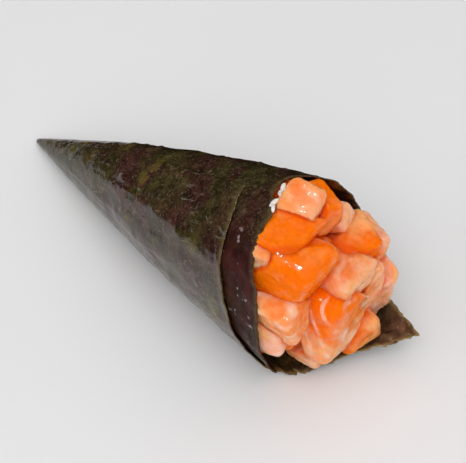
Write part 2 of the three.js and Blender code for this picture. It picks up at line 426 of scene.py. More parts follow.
@dataclass(frozen=True)
class NoriFinish:
    """Roasted seaweed: dark brown to green and maroon, waxy, with pale fibres, painted light through its
    thinnest spots and painted wet glints.
    """

    name: str = "nori"
    brown: Colour = (0.038, 0.020, 0.010, 1.0)
    green: Colour = (0.036, 0.029, 0.009, 1.0)
    maroon: Colour = (0.042, 0.015, 0.012, 1.0)
    # Painted light: the olive-yellow of light shining through the thinnest spots.
    painted_backlight: Colour = (0.17, 0.125, 0.020, 1.0)
    fibre: Colour = (0.20, 0.165, 0.11, 1.0)
    soaked: Colour = (0.036, 0.0085, 0.0075, 1.0)
    curled: Colour = (0.125, 0.066, 0.036, 1.0)
    curled_dark: Colour = (0.050, 0.025, 0.014, 1.0)
    # Painted glints: the pale colour that stands in for highlights on wet beads.
    painted_glint: Colour = (0.36, 0.28, 0.28, 1.0)
    # Partly painted light: the pale fray, made lighter to stand in for light on the shaded lower lip.
    fray_and_painted_light: Colour = (0.27, 0.195, 0.085, 1.0)
    smoothest: float = 0.08
    roughest: float = 0.20
    specular: float = 0.62
    bump: float = 0.45

    def material(self, mottle: Effect, wet: Effect) -> bpy.types.Material:
        """Builds the material.

        Args:
            mottle: The effect that gives patches and flecks.
            wet: The effect that gives the moist film.

        Returns:
            The material.
        """
        material, weave, skin, place = new_finish(self.name)
        sheet = weave.add("UVMap", {"uv_map": "sheet"}).outputs["UV"]
        coarse = mottle.place(weave, Vector=place, Patch_Scale=60.0, Fleck_Scale=480.0)
        fine = mottle.place(weave, Vector=place, Patch_Scale=420.0, Fleck_Scale=1500.0)
        hairs = weave.noise(weave.stretched(sheet, (16.0, 110.0, 1.0), 0.9), 1.0, 3.0, 0.8)
        hairs = weave.times(weave.ramp(hairs, 0.60, 0.70), weave.cloud(place, 140.0, 2.0, 0.44, 0.62))
        weave.feed(skin.inputs["Base Color"], self.colours(weave, place, coarse, fine, hairs))

        film = wet.place(
            weave, Vector=place, Scale=330.0, Wet_Roughness=self.smoothest, Dry_Roughness=self.roughest
        )
        weave.feed(skin.inputs["Roughness"], film.outputs["Roughness"])
        skin.inputs["IOR"].default_value = 1.5
        skin.inputs["Specular IOR Level"].default_value = self.specular

        mat_lines = weave.noise(weave.stretched(sheet, (9.0, 60.0, 1.0), 0.05), 1.0, 2.0)
        crumple = weave.noise(place, 210.0, 3.0, 0.4)
        height = weave.times_plus(coarse.outputs["Height"], 0.9, weave.times(fine.outputs["Height"], 0.5))
        for layer, share in ((hairs, 0.9), (mat_lines, 1.2), (crumple, 1.6)):
            height = weave.math("ADD", height, weave.times(layer, share))
        weave.bump(skin, height, self.bump, 0.0002)
        return material

    def colours(
        self,
        weave: Weaver,
        place: bpy.types.NodeSocket,
        coarse: bpy.types.Node,
        fine: bpy.types.Node,
        hairs: bpy.types.NodeSocket,
    ) -> bpy.types.NodeSocket:
        """Colours the sheet.

        Args:
            weave: The material's weaver.
            place: The Object coordinates.
            coarse: The large mottle.
            fine: The small mottle.
            hairs: Where its pale fibres show.

        Returns:
            The colour's socket.
        """
        damp, edge, flap = (weave.own(name) for name in ("damp", "edge", "flap"))
        # Brown, green and maroon patches, unevenly dark.
        hues = weave.mix(coarse.outputs["Patches"], self.brown, self.green)
        reddish = weave.ramp(weave.noise(place, 85.0, 3.0, 0.5), 0.46, 0.60, 0.0, 0.9)
        hues = weave.mix(reddish, hues, self.maroon)
        hues = weave.shaded(hues, weave.cloud(place, 260.0, 4.0, 0.3, 0.7, 0.62, 1.45))
        hues = weave.shaded(hues, weave.cloud(place, 950.0, 3.0, 0.3, 0.7, 0.66, 1.42))
        # Pale fibres and flecks.
        flecks = weave.times(coarse.outputs["Flecks"], weave.cloud(place, 170.0, 2.0, 0.45, 0.6))
        pale = weave.math("MAXIMUM", hairs, weave.math("MAXIMUM", flecks, fine.outputs["Flecks"]))
        hues = weave.mix(weave.times(pale, 0.55), hues, self.fibre)
        # Painted light: olive-yellow where light would shine through the sheet's thinnest spots, mostly near
        # the rim.
        painted_backlight = weave.cloud(place, 125.0, 2.0, 0.60, 0.70, 0.0, 0.7)
        painted_backlight = weave.math("MAXIMUM", painted_backlight, weave.times(edge, 1.3))
        painted_backlight = weave.times(painted_backlight, weave.cloud(place, 420.0, 3.0, 0.38, 0.58))
        hues = weave.mix(weave.times(painted_backlight, 0.62, True), hues, self.painted_backlight)
        # The loose corner, which is seen from its lighter inner face.
        curled = weave.mix(fine.outputs["Patches"], self.curled_dark, self.curled)
        curled = weave.shaded(curled, weave.cloud(place, 330.0, 3.0, 0.3, 0.7, 0.7, 1.35))
        hues = weave.mix(weave.times(flap, weave.math("SUBTRACT", 0.95, painted_backlight), True), hues, curled)
        # The damp strip against the salmon.
        soaked = weave.shaded(self.soaked, weave.cloud(place, 190.0, 4.0, 0.3, 0.7, 0.45, 1.8))
        soaked = weave.mix(weave.times(coarse.outputs["Patches"], 0.35), soaked, self.green)
        hues = weave.mix(weave.times(damp, 0.92), hues, soaked)
        # Painted glints: pale specks that stand in for highlights on wet beads, on the strip and the corner.
        glint_specks = weave.cloud(place, 700.0, 1.0, 0.60, 0.68)
        glint_specks = weave.times(glint_specks, weave.cloud(place, 210.0, 3.0, 0.50, 0.60))
        glint_specks = weave.times(glint_specks, weave.math("MAXIMUM", damp, weave.times(flap, 0.5)))
        hues = weave.mix(weave.times(glint_specks, 0.8), hues, self.painted_glint)
        # The frayed rim: the nori's own pale cut edge, made lighter still on the lower lip as painted light
        # where the lip lies in shade.
        fray_and_light = weave.times(edge, weave.cloud(place, 700.0, 2.0, 0.36, 0.56, 0.25, 1.0))
        return weave.mix(weave.times(fray_and_light, 0.8), hues, self.fray_and_painted_light)


@dataclass(frozen=True)
class SalmonFinish:
    """Raw salmon: deep orange going to pale and rosy, with soft lines of fat, moist and translucent, and
    painted shade in the seams between pieces.
    """

    deep: Colour = (0.97, 0.175, 0.001, 1.0)
    light: Colour = (0.97, 0.40, 0.15, 1.0)
    rosy: Colour = (0.97, 0.46, 0.33, 1.0)
    fat: Colour = (0.97, 0.66, 0.50, 1.0)
    # Painted shade: the darker red of the crevices between pieces.
    seam: Colour = (0.86, 0.075, 0.001, 1.0)
    specular: float = 0.08

    def material(self, mottle: Effect, wet: Effect) -> bpy.types.Material:
        """Builds the material.

        Args:
            mottle: The effect that gives patches and flecks.
            wet: The effect that gives the moist film.

        Returns:
            The material.
        """
        material, weave, skin, place = new_finish("salmon")
        flesh = weave.own("flesh", "Vector")
        pale, rosy, fatty, sunk, ridge = (
            weave.own(name) for name in ("pale", "rosy", "fatty", "sunk", "ridge")
        )
        # Deep orange going to pale and rosy.
        cloud = mottle.place(weave, Vector=flesh, Patch_Scale=0.22, Fleck_Scale=2.2)
        uneven = weave.times(weave.math("SUBTRACT", cloud.outputs["Patches"], 0.5), 0.7)
        uneven = weave.times(uneven, weave.ramp(pale, 0.0, 0.4, 0.25, 1.0))
        light_share = weave.math("ADD", pale, uneven, True)
        hues = weave.mix(light_share, self.deep, self.light)
        rosy_share = weave.times(rosy, weave.cloud(flesh, 0.25, 3.0, 0.35, 0.62, 0.1, 1.0))
        hues = weave.mix(weave.times(rosy_share, light_share), hues, self.rosy)
        # Lines of fat across the fibres, and along the cut edges.
        bands = weave.add(
            "TexWave", {"bands_direction": "X"}, Vector=flesh, Scale=0.075, Distortion=7.0, Detail=3.0
        )
        bands.inputs["Detail Scale"].default_value = 0.6
        line = weave.ramp(bands.outputs["Fac"], 0.62, 1.0)
        line = weave.times(line, weave.cloud(flesh, 0.2, 2.0, 0.4, 0.62))
        line = weave.math("MAXIMUM", line, weave.times(ridge, weave.cloud(flesh, 0.3, 2.0, 0.45, 0.6)))
        hues = weave.mix(weave.times(line, weave.ramp(fatty, 0.0, 1.0, 0.0, 0.8)), hues, self.fat)
        fibres = weave.noise(weave.stretched(flesh, (1.6, 0.3, 0.5)), 1.0, 3.0, 0.5)
        hues = weave.shaded(hues, weave.ramp(fibres, 0.3, 0.7, 0.92, 1.06))
        # Painted shade: a darker red in the crevices where two pieces meet.
        weave.feed(skin.inputs["Base Color"], weave.mix(weave.times(sunk, 0.7), hues, self.seam))

        skin.inputs["Subsurface Weight"].default_value = 0.6
        skin.inputs["Subsurface Radius"].default_value = (1.0, 0.42, 0.15)
        skin.inputs["Subsurface Scale"].default_value = 0.004
        film = wet.place(weave, Vector=place, Scale=300.0, Wet_Roughness=0.14, Dry_Roughness=0.36)
        weave.feed(skin.inputs["Roughness"], film.outputs["Roughness"])
        skin.inputs["Specular IOR Level"].default_value = self.specular
        weave.feed(skin.inputs["Coat Weight"], weave.ramp(film.outputs["Film"], 0.5, 0.8, 0.0, 0.85))
        skin.inputs["Coat Roughness"].default_value = 0.10

        height = weave.times_plus(fibres, 0.5, weave.times(cloud.outputs["Height"], 0.5))
        weave.bump(skin, weave.math("ADD", height, weave.times(line, 0.4)), 0.35, 0.0004)
        return material


@dataclass(frozen=True)
class RiceFinish:
    """Cooked rice: white, slightly clear and glossy."""

    white: Colour = (0.82, 0.80, 0.74, 1.0)
    clear: Colour = (0.66, 0.62, 0.58, 1.0)

    def material(self, mottle: Effect, wet: Effect) -> bpy.types.Material:
        """Builds the material.

        Args:
            mottle: The effect that gives patches and flecks.
            wet: The effect that gives the moist film.

        Returns:
            The material.
        """
        material, weave, skin, place = new_finish("rice")
        cloud = mottle.place(weave, Vector=place, Patch_Scale=500.0, Fleck_Scale=2500.0)
        weave.feed(skin.inputs["Base Color"], weave.mix(cloud.outputs["Patches"], self.white, self.clear))
        skin.inputs["Subsurface Weight"].default_value = 0.3
        skin.inputs["Subsurface Radius"].default_value = (1.0, 0.8, 0.6)
        skin.inputs["Subsurface Scale"].default_value = 0.001
        film = wet.place(weave, Vector=place, Scale=900.0, Wet_Roughness=0.2, Dry_Roughness=0.4)
        weave.feed(skin.inputs["Roughness"], film.outputs["Roughness"])
        weave.bump(skin, cloud.outputs["Height"], 0.3, 0.0001)
        return material


# --- the nori ---


@dataclass(frozen=True)
class RimWave:
    """A hump or dip of the uneven rim.

    Attributes:
        turn: Where it is, in degrees of the winding.
        spread: How wide it is, in degrees.
        by: How much longer the sheet is there, in millimetres.
    """

    turn: float
    spread: float
    by: float


@dataclass(frozen=True)
class Winding:
    """How the half sheet is wound into the cone, in millimetres and degrees, with the tip at x 0.

    Turns go round the cone from +Y up over the top: 90 is the top, 180 the -Y side, 270 the underside.

    Attributes:
        short_side: How far the half sheet reaches across from the seam.
        tip_to_outer_edge: How far it reaches from the tip along the seam.
        seam_turn: Where the edge of its outer layer lies.
        end_turn: Where its inner layer ends.
        inner_tuck: How far from the tip the inner layer reaches at most.
        inner_start: How far from the tip the inner layer starts.
        inner_full_wound: After how many times round it starts that far.
        rim_skew: How much longer the sheet is on one side of the mouth, and shorter on the other.
        rim_skew_turn: The side on which it is longer.
        layer_pitch: How much further in the sheet lies after each time round.
        tip_squeeze: The share of that at the tip.
        squeeze_length: How far from the tip the layers are still closer together.
        cone_length: The cone's length along X.
        half_width: Half the mouth's width.
        half_height: Half the mouth's height.
        tip_radius: How blunt the tip is.
        belly: How far the cone bulges halfway along.
        flat_share: How high its middle lies, for its half height: below 1 it rests on a flat.
        squareness: How square the section's lower half is, where 2 is an ellipse.
        flap_lift: How high the loose corner curls up.
        flap_root: How far from the tip it starts to curl.
        flap_tip: How far from the tip it is curled in full.
        rim_steps: In how many steps the rim is followed to find how wide it is.
        waves: The humps and dips of the rim.
    """

    short_side: float = 105.0
    tip_to_outer_edge: float = 93.5
    seam_turn: float = 97.0
    end_turn: float = 588.0
    inner_tuck: float = 113.0
    inner_start: float = 30.0
    inner_full_wound: float = 1.25
    rim_skew: float = 6.0
    rim_skew_turn: float = 205.0
    layer_pitch: float = 0.9
    tip_squeeze: float = 0.35
    squeeze_length: float = 26.0
    cone_length: float = 110.0
    half_width: float = 25.0
    half_height: float = 30.0
    tip_radius: float = 1.3
    belly: float = 2.2
    flat_share: float = 0.9
    squareness: float = 2.35
    flap_lift: float = 10.0
    flap_root: float = 116.0
    flap_tip: float = 145.0
    rim_steps: int = 82
    waves: tuple[RimWave, ...] = (
        RimWave(283.0, 9.0, 1.5),
        RimWave(311.0, 6.5, -3.0),
        RimWave(326.0, 11.0, -1.5),
        RimWave(390.0, 20.0, 3.0),
        RimWave(445.0, 25.0, -3.0),
        RimWave(468.0, 12.0, 2.6),
        RimWave(517.0, 12.0, 2.2),
        RimWave(532.0, 27.0, 1.8),
    )

    @property
    def slant(self) -> float:
        """The cone's length along its top."""
        return math.hypot(self.cone_length, self.half_height)

    @property
    def spread_per_turn(self) -> float:
        """How much of the flat sheet's angle one angle of the winding takes."""
        return (self.half_width + self.half_height) / 2.0 / self.slant

    def wound(self, turn: float) -> float:
        """How many times the sheet has gone round the cone."""
        return (turn - self.seam_turn) / 360.0

    def halves(self, share: float) -> tuple[float, float]:
        """The cone's half width and half height, a share of the way from the tip to the mouth."""
        bulge = self.belly * 4.0 * share * (1.0 - share) if share < 1.0 else 0.0
        return (
            lerp(self.tip_radius, self.half_width, share) + bulge,
            lerp(self.tip_radius, self.half_height, share) + bulge,
        )

    def power(self, up: float) -> float:
        """The section's power: an ellipse's in its upper half, squarer in its lower half."""
        return 2.0 / self.squareness if up < 0.0 else 1.0

    def lift(self, distance: float) -> float:
        """How high the loose corner curls up."""
        return self.flap_lift * smoothstep(distance, self.flap_root, self.flap_tip)

    def rim(self, turn: float) -> float:
        """How far from the tip the sheet ends.

        Args:
            turn: The turn, in degrees.

        Returns:
            The distance, in millimetres.
        """
        spread = math.radians(turn - self.seam_turn) * self.spread_per_turn
        short_edge = self.tip_to_outer_edge / math.cos(spread) if spread < math.pi / 2 - 1e-6 else math.inf
        long_edge = self.short_side / math.sin(spread) if spread > 1e-6 else math.inf
        tucked = self.inner_tuck if turn > self.seam_turn + 360.0 else math.inf
        skew = self.rim_skew * math.cos(math.radians(turn - self.rim_skew_turn))
        waves = sum(wave.by * hump(turn, wave.turn, wave.spread) for wave in self.waves)
        return min(short_edge, long_edge, tucked) + skew + waves

    def start(self, turn: float) -> float:
        """How far from the tip the sheet starts: only the inner layer leaves the tip free."""
        return self.inner_start * smoothstep(self.wound(turn), 1.0, self.inner_full_wound)

    def point(self, distance: float, turn: float, inset: float, floor: float) -> Vector:
        """Finds a point of the wall.

        Args:
            distance: How far from the tip.
            turn: The turn, in degrees.
            inset: How far inside the cone's outer face.
            floor: The least height above the table.

        Returns:
            The point, in millimetres from the tip.
        """
        share = distance / self.slant
        half_width, half_height = self.halves(share)
        across, up = math.cos(math.radians(turn)), math.sin(math.radians(turn))
        power = self.power(up)
        y = (half_width - inset) * math.copysign(abs(across) ** power, across)
        z = self.flat_share * half_height + (half_height - inset) * math.copysign(abs(up) ** power, up)
        return Vector((self.cone_length * share, y, max(z, floor) + self.lift(distance)))

    def keep_inside(self, point: Vector, inset: float) -> Vector:
        """Moves a point that is behind the rim back inside the wall.

        Args:
            point: The point, in millimetres from the tip.
            inset: How far inside the cone's outer face it must stay.

        Returns:
            The point, or the nearest one towards the axis.
        """
        share = point.x / self.cone_length
        distance = share * self.slant
        half_width, half_height = self.halves(share)
        wide, high = half_width - inset, half_height - inset
        middle = self.flat_share * half_height
        up = point.z - middle
        power = self.power(up)
        across, rise = (abs(point.y) / wide) ** (2.0 / power), (abs(up) / high) ** (2.0 / power)
        fill = (across + rise) ** (power / 2.0)
        turn = math.atan2(math.copysign(math.sqrt(rise), up), math.copysign(math.sqrt(across), point.y))
        turn = math.degrees(turn) % 360.0
        rims = [self.rim(lap) for lap in (turn, turn + 360.0) if self.seam_turn <= lap <= self.end_turn]
        kept = point.copy()
        if distance < max(rims) + 1.0:
            if fill > 1.0:
                kept.y, kept.z = point.y / fill, middle + up / fill
            kept.z = max(kept.z, inset + self.lift(distance))
        return kept

    def tip_place(self) -> Vector:
        """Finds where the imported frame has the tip.

        Returns:
            The tip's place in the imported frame, in millimetres.
        """
        low, high = (Vector(corner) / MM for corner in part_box("nori"))
        reach = []
        for step in range(self.rim_steps + 1):
            turn = lerp(self.seam_turn, self.end_turn, step / self.rim_steps)
            reach.append(self.point(self.rim(turn), turn, self.layer_pitch * self.wound(turn), 0.0).y)
        return Vector((low.x, (low.y + high.y - min(reach) - max(reach)) / 2.0, 0.0))


@dataclass
class NoriSheet:
    """The wound half sheet of nori, with its creases, dents and ragged rim.

    Attributes:
        winding: How it is wound.
        thickness_mm: How thick it is.
        turn_steps: How many faces it has round the cone.
        length_steps: How many faces it has along the cone.
        crease_mm: The height of its long creases.
        facet_mm: The height of its narrow facets.
        dent_mm: The depth of its dents.
        grain_mm: The height of its grain.
        shelf_mm: How far its near side stands out beside a dip above it.
        ragged_mm: How uneven its rim is.
        nick_mm: The depth of the rim's nicks.
        curl_mm: How far its rim turns outwards.
        wrinkle_mm: The height of the loose corner's wrinkles.
        torn: How much more ragged the loose corner is.
        corner_turn: The turn of the loose corner's point.
    """

    winding: Winding
    thickness_mm: float = 0.32
    turn_steps: int = 400
    length_steps: int = 120
    crease_mm: float = 0.75
    facet_mm: float = 0.35
    dent_mm: float = 0.3
    grain_mm: float = 0.07
    shelf_mm: float = 1.0
    ragged_mm: float = 1.2
    nick_mm: float = 1.6
    curl_mm: float = 0.15
    wrinkle_mm: float = 1.3
    torn: float = 1.1
    corner_turn: float = 300.0

    def ragged_rim(self, turn: float) -> float:
        """The rim's distance from the tip with its small tears, in millimetres."""
        arc = Vector((turn * 0.45, 0.0, 0.0))
        nibble = 0.5 * rough(arc, 4.0, 1.0) + 0.4 * rough(arc, 1.4, 2.0) + 0.4 * rough(arc, 0.7, 3.0)
        nick = self.nick_mm * smoothstep(rough(arc, 2.2, 4.0), 0.42, 0.62)
        cut = 1.0 - smoothstep(turn, 225.0, 250.0)
        corner = hump(turn, self.corner_turn, 9.0)
        torn = 1.0 + self.torn * hump(turn, self.corner_turn + 8.0, 30.0)
        nibble = self.ragged_mm * nibble * torn * lerp(1.0, 0.3, cut)
        return self.winding.rim(turn) + nibble - nick * (1.0 - corner) * (1.0 - cut) - 0.4

    def dented(self, point: Vector, turn: float, distance: float) -> float:
        """How far the wall stands in or out of the smooth cone.

        Args:
            point: The smooth point, in millimetres.
            turn: The turn, in degrees.
            distance: How far from the tip, in millimetres.

        Returns:
            The distance outwards, in millimetres.
        """
        angle, around = math.radians(turn), turn % 360.0
        along_creases = Vector((math.cos(angle), math.sin(angle), distance / 160.0))
        size = smoothstep(distance, 4.0, 90.0)
        crease = self.crease_mm * rough(along_creases, 0.34, 5.0) * size
        facet = self.facet_mm * rough(along_creases, 0.13, 6.0) * size
        dent = rough(point, 11.0, 7.0) + 0.5 * rough(point, 4.5, 8.0)
        dent *= self.dent_mm * smoothstep(distance, 0.0, 30.0)
        knob = lerp(0.36, 0.14, smoothstep(around, 125.0, 165.0))
        knob *= smoothstep(rough(point, 2.6, 15.0), 0.22, 0.7) * smoothstep(distance, 15.0, 60.0)
        grain = self.grain_mm * rough(point, 1.6, 9.0)
        shelf = 1.3 * hump(around, 171.0, 21.0) - hump(around, 120.0, 21.0)
        shelf *= self.shelf_mm * (hump(distance, 72.0, 25.0) + 0.12 * hump(distance, 14.0, 10.0))
        return crease + facet + dent + grain + knob + shelf

    def shape(self) -> bmesh.types.BMesh:
        """Winds a flat grid into the sheet.

        Returns:
            The sheet's outer face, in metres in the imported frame.
        """
        winding = self.winding
        tip = winding.tip_place()
        shape = bmesh.new()
        sheet_uv = shape.loops.layers.uv.new("sheet")
        bmesh.ops.create_grid(shape, x_segments=self.turn_steps, y_segments=self.length_steps, size=0.5)
        damp, edge, flap = (shape.verts.layers.float.new(name) for name in ("damp", "edge", "flap"))
        flat: dict[int, tuple[float, float]] = {}
        for vert in shape.verts:
            turn = lerp(winding.seam_turn, winding.end_turn, vert.co.x + 0.5)
            wound = winding.wound(turn)
            start, rim = winding.start(turn), self.ragged_rim(turn)
            distance = lerp(start, rim, 1.0 - (0.5 - vert.co.y) ** 1.15)
            inset = self.inset(distance, wound)
            smooth = winding.point(distance, turn, inset, 0.0)
            loose = smoothstep(distance, 112.0, 138.0)
            curl = self.curl_mm * smoothstep(distance, rim - 3.0, rim)
            off = self.dented(smooth, turn, distance) + curl - 0.4
            wrinkle = loose * (self.wrinkle_mm * rough(smooth, 7.0, 11.0) + 0.6 * rough(smooth, 2.6, 12.0))
            place = smooth + self.outwards(distance, turn, inset) * off + Vector((0.0, 0.0, wrinkle))
            place.z = max(place.z, 0.02 + 0.03 * abs(rough(smooth, 1.2, 13.0)))
            spread = math.radians(turn - winding.seam_turn) * winding.spread_per_turn
            flat[vert.index] = (distance * math.cos(spread) / 100.0, distance * math.sin(spread) / 100.0)
            wander = 9.0 * rough(smooth, 6.0, 14.0)
            vert[damp] = smoothstep(wound, 0.97, 1.0) * smoothstep(turn - 360.0 + wander, 118.0, 142.0)
            # The edge is strongest on the lower lip, where its pale fray is also painted light in the shade.
            lip = smoothstep(turn, 205.0, 225.0) * (1.0 - smoothstep(turn, 330.0, 350.0))
            vert[edge] = smoothstep(distance, rim - 1.9, rim - 0.5) * lerp(0.25, 1.0, lip)
            vert[flap] = loose
            vert.co = (place + tip) * MM
        for face in shape.faces:
            for loop in face.loops:
                loop[sheet_uv].uv = flat[loop.vert.index]
        bmesh.ops.remove_doubles(shape, verts=shape.verts, dist=2e-6)
        return shape

    def inset(self, distance: float, wound: float) -> float:
        """How far inside the cone's outer face the sheet lies, pressed onto its inner layer at the seam."""
        winding = self.winding
        squeeze = min(1.0, lerp(winding.tip_squeeze, 1.0, distance / winding.squeeze_length))
        pressed = (winding.layer_pitch - self.thickness_mm - 0.1) * (1.0 - smoothstep(wound, 0.0, 0.09))
        return (winding.layer_pitch * wound + pressed) * squeeze

    def outwards(self, distance: float, turn: float, inset: float) -> Vector:
        """Finds the direction out of the wall.

        Args:
            distance: How far from the tip, in millimetres.
            turn: The turn, in degrees.
            inset: How far inside the cone's outer face, in millimetres.

        Returns:
            A unit vector.
        """
        no_floor, distance = -1000.0, max(distance, 1.0)
        near = self.winding.point(distance, turn - 0.5, inset, no_floor)
        far = self.winding.point(distance, turn + 0.5, inset, no_floor)
        back = self.winding.point(distance + 1.0, turn, inset, no_floor)
        return (far - near).cross(back - near).normalized()

    def build(self, dry: bpy.types.Material, soaked: bpy.types.Material) -> bpy.types.Object:
        """Builds the sheet and gives it its thickness.

        Args:
            dry: The finish of the dry nori.
            soaked: The finish of the strip that lies against the salmon.

        Returns:
            The piece.
        """
        piece = finish_piece("nori_sheet", self.shape(), dry, ("nori",))
        piece.data.materials.append(soaked)
        damp = piece.data.attributes["damp"].data
        for face in piece.data.polygons:
            share = sum(damp[index].value for index in face.vertices) / len(face.vertices)
            face.material_index = 1 if share > 0.5 else 0
        wall = piece.modifiers.new("wall", "SOLIDIFY")
        wall.thickness = self.thickness_mm * MM
        wall.offset = -1.0
        return piece


# --- the salmon ---


class Cut(Enum):
    """Which part of the fish a piece was cut from."""

    DEEP = "deep"
    PLAIN = "plain"
    LIGHT = "light"
    ROSY = "rosy"
    PINK = "pink"
    BELLY = "belly"


@dataclass(frozen=True)
class Flesh:
    """How a cut looks.

    Attributes:
        pale: How light it is, from 0 to 1.
        rosy: How pink it is, from 0 to 1.
        fatty: How strong its lines of fat are, from 0 to 1.
    """

    pale: float
    rosy: float
    fatty: float


FLESH_OF: dict[Cut, Flesh] = {
    Cut.DEEP: Flesh(0.0, 0.0, 0.0),
    Cut.PLAIN: Flesh(0.25, 0.1, 0.2),
    Cut.LIGHT: Flesh(0.65, 0.42, 0.45),
    Cut.ROSY: Flesh(0.85, 0.8, 0.5),
    Cut.PINK: Flesh(1.05, 1.0, 0.7),
    Cut.BELLY: Flesh(0.5, 0.25, 0.75),
}


@dataclass(frozen=True)
class Dice:
    """One diced piece.

    Attributes:
        name: Its name, without salmon_ or flesh_ before it.
        cut: Which cut it is.
        grain: Which way its fibres lie, in degrees about X, Y and Z.
        fade: How much paler it gets towards its +X, +Y and +Z ends.
        moved_mm: How far it sags or slides against its solid.
        scaled: How much it is pressed along X, Y and Z.
    """

    name: str
    cut: Cut
    grain: Triple
    fade: Triple = (0.0, 0.0, 0.0)
    moved_mm: Triple = (0.0, 0.0, 0.0)
    scaled: Triple = (1.0, 1.0, 1.0)

    @property
    def node(self) -> str:
        """The frame's node that it stands for."""
        return "salmon_" + self.name


DICE: tuple[Dice, ...] = (
    Dice("crown_near", Cut.LIGHT, (10.0, 40.0, 70.0), (0.3, -0.4, -0.1), (0.3, 0.5, -0.8), (0.85, 0.85, 1.0)),
    Dice("crown_far", Cut.DEEP, (0.0, 20.0, 30.0), (0.3, -0.3, -0.1), (0.0, -0.8, -0.8), (0.85, 0.75, 0.9)),
    Dice("sliver_crown", Cut.ROSY, (30.0, 0.0, 60.0), (0.0, 0.0, 0.3), (0.0, 0.0, 0.0), (0.8, 0.8, 0.8)),
    Dice("shoulder", Cut.DEEP, (0.0, 60.0, 20.0), (-0.1, 0.1, 0.1), (-0.5, 0.0, 0.8), (0.9, 1.0, 0.8)),
    Dice("big_near", Cut.DEEP, (20.0, 70.0, 10.0), (-0.05, 0.1, 0.1), (0.0, -0.5, 0.7), (1.0, 0.9, 1.05)),
    Dice("sliver_near", Cut.LIGHT, (0.0, 30.0, 80.0), (0.0, 0.0, 0.2), (0.0, 0.0, 1.0), (0.8, 0.8, 0.8)),
    # Painted light: brow_far's fade makes its top paler, as where light from above catches it.
    Dice("brow_far", Cut.DEEP, (15.0, 80.0, 0.0), (-0.6, 0.2, 1.0), (0.0, -0.5, -0.5), (0.9, 0.85, 0.75)),
    Dice("ear_far", Cut.ROSY, (0.0, 10.0, 50.0), (0.0, 0.2, 0.2), (0.0, -1.5, -1.0), (1.0, 1.0, 1.0)),
    Dice("cheek_far", Cut.PINK, (0.0, 15.0, 95.0), (0.1, 0.3, 0.0), (0.0, -1.4, 0.3), (1.0, 0.95, 1.0)),
    Dice("middle", Cut.LIGHT, (25.0, 55.0, 0.0), (0.5, 0.1, -0.6), (0.0, 0.5, 4.8), (1.0, 1.0, 0.54)),
    Dice("middle_far", Cut.LIGHT, (0.0, 80.0, 40.0), (0.2, 0.2, 0.0), (0.0, 0.0, -0.5), (1.0, 1.0, 1.0)),
    Dice("chin", Cut.BELLY, (70.0, 20.0, 15.0), (0.0, 0.1, -0.45), (0.3, 1.5, 4.1), (1.0, 1.15, 1.5)),
    Dice("foot_far", Cut.PLAIN, (10.0, 35.0, 75.0), (0.1, 0.2, 0.2), (-1.2, -1.4, -0.3), (0.95, 0.95, 1.05)),
    Dice("jowl_near", Cut.BELLY, (0.0, 75.0, 25.0), (0.0, -0.35, -0.1), (0.0, 0.0, 0.0), (0.95, 0.82, 0.95)),
    Dice("foot_near", Cut.PINK, (40.0, 10.0, 60.0), (0.0, -0.3, 0.0), (0.0, 0.0, 2.3), (0.95, 0.95, 0.95)),
    Dice("foot_back", Cut.DEEP, (0.0, 40.0, 0.0), (0.0, 0.0, 0.0), (-2.0, 0.5, 4.0), (0.8, 0.8, 0.7)),
    Dice("foot_middle", Cut.LIGHT, (20.0, 50.0, 60.0), (0.2, 0.0, 0.0), (0.0, 0.0, 1.5), (1.0, 1.0, 1.0)),
)


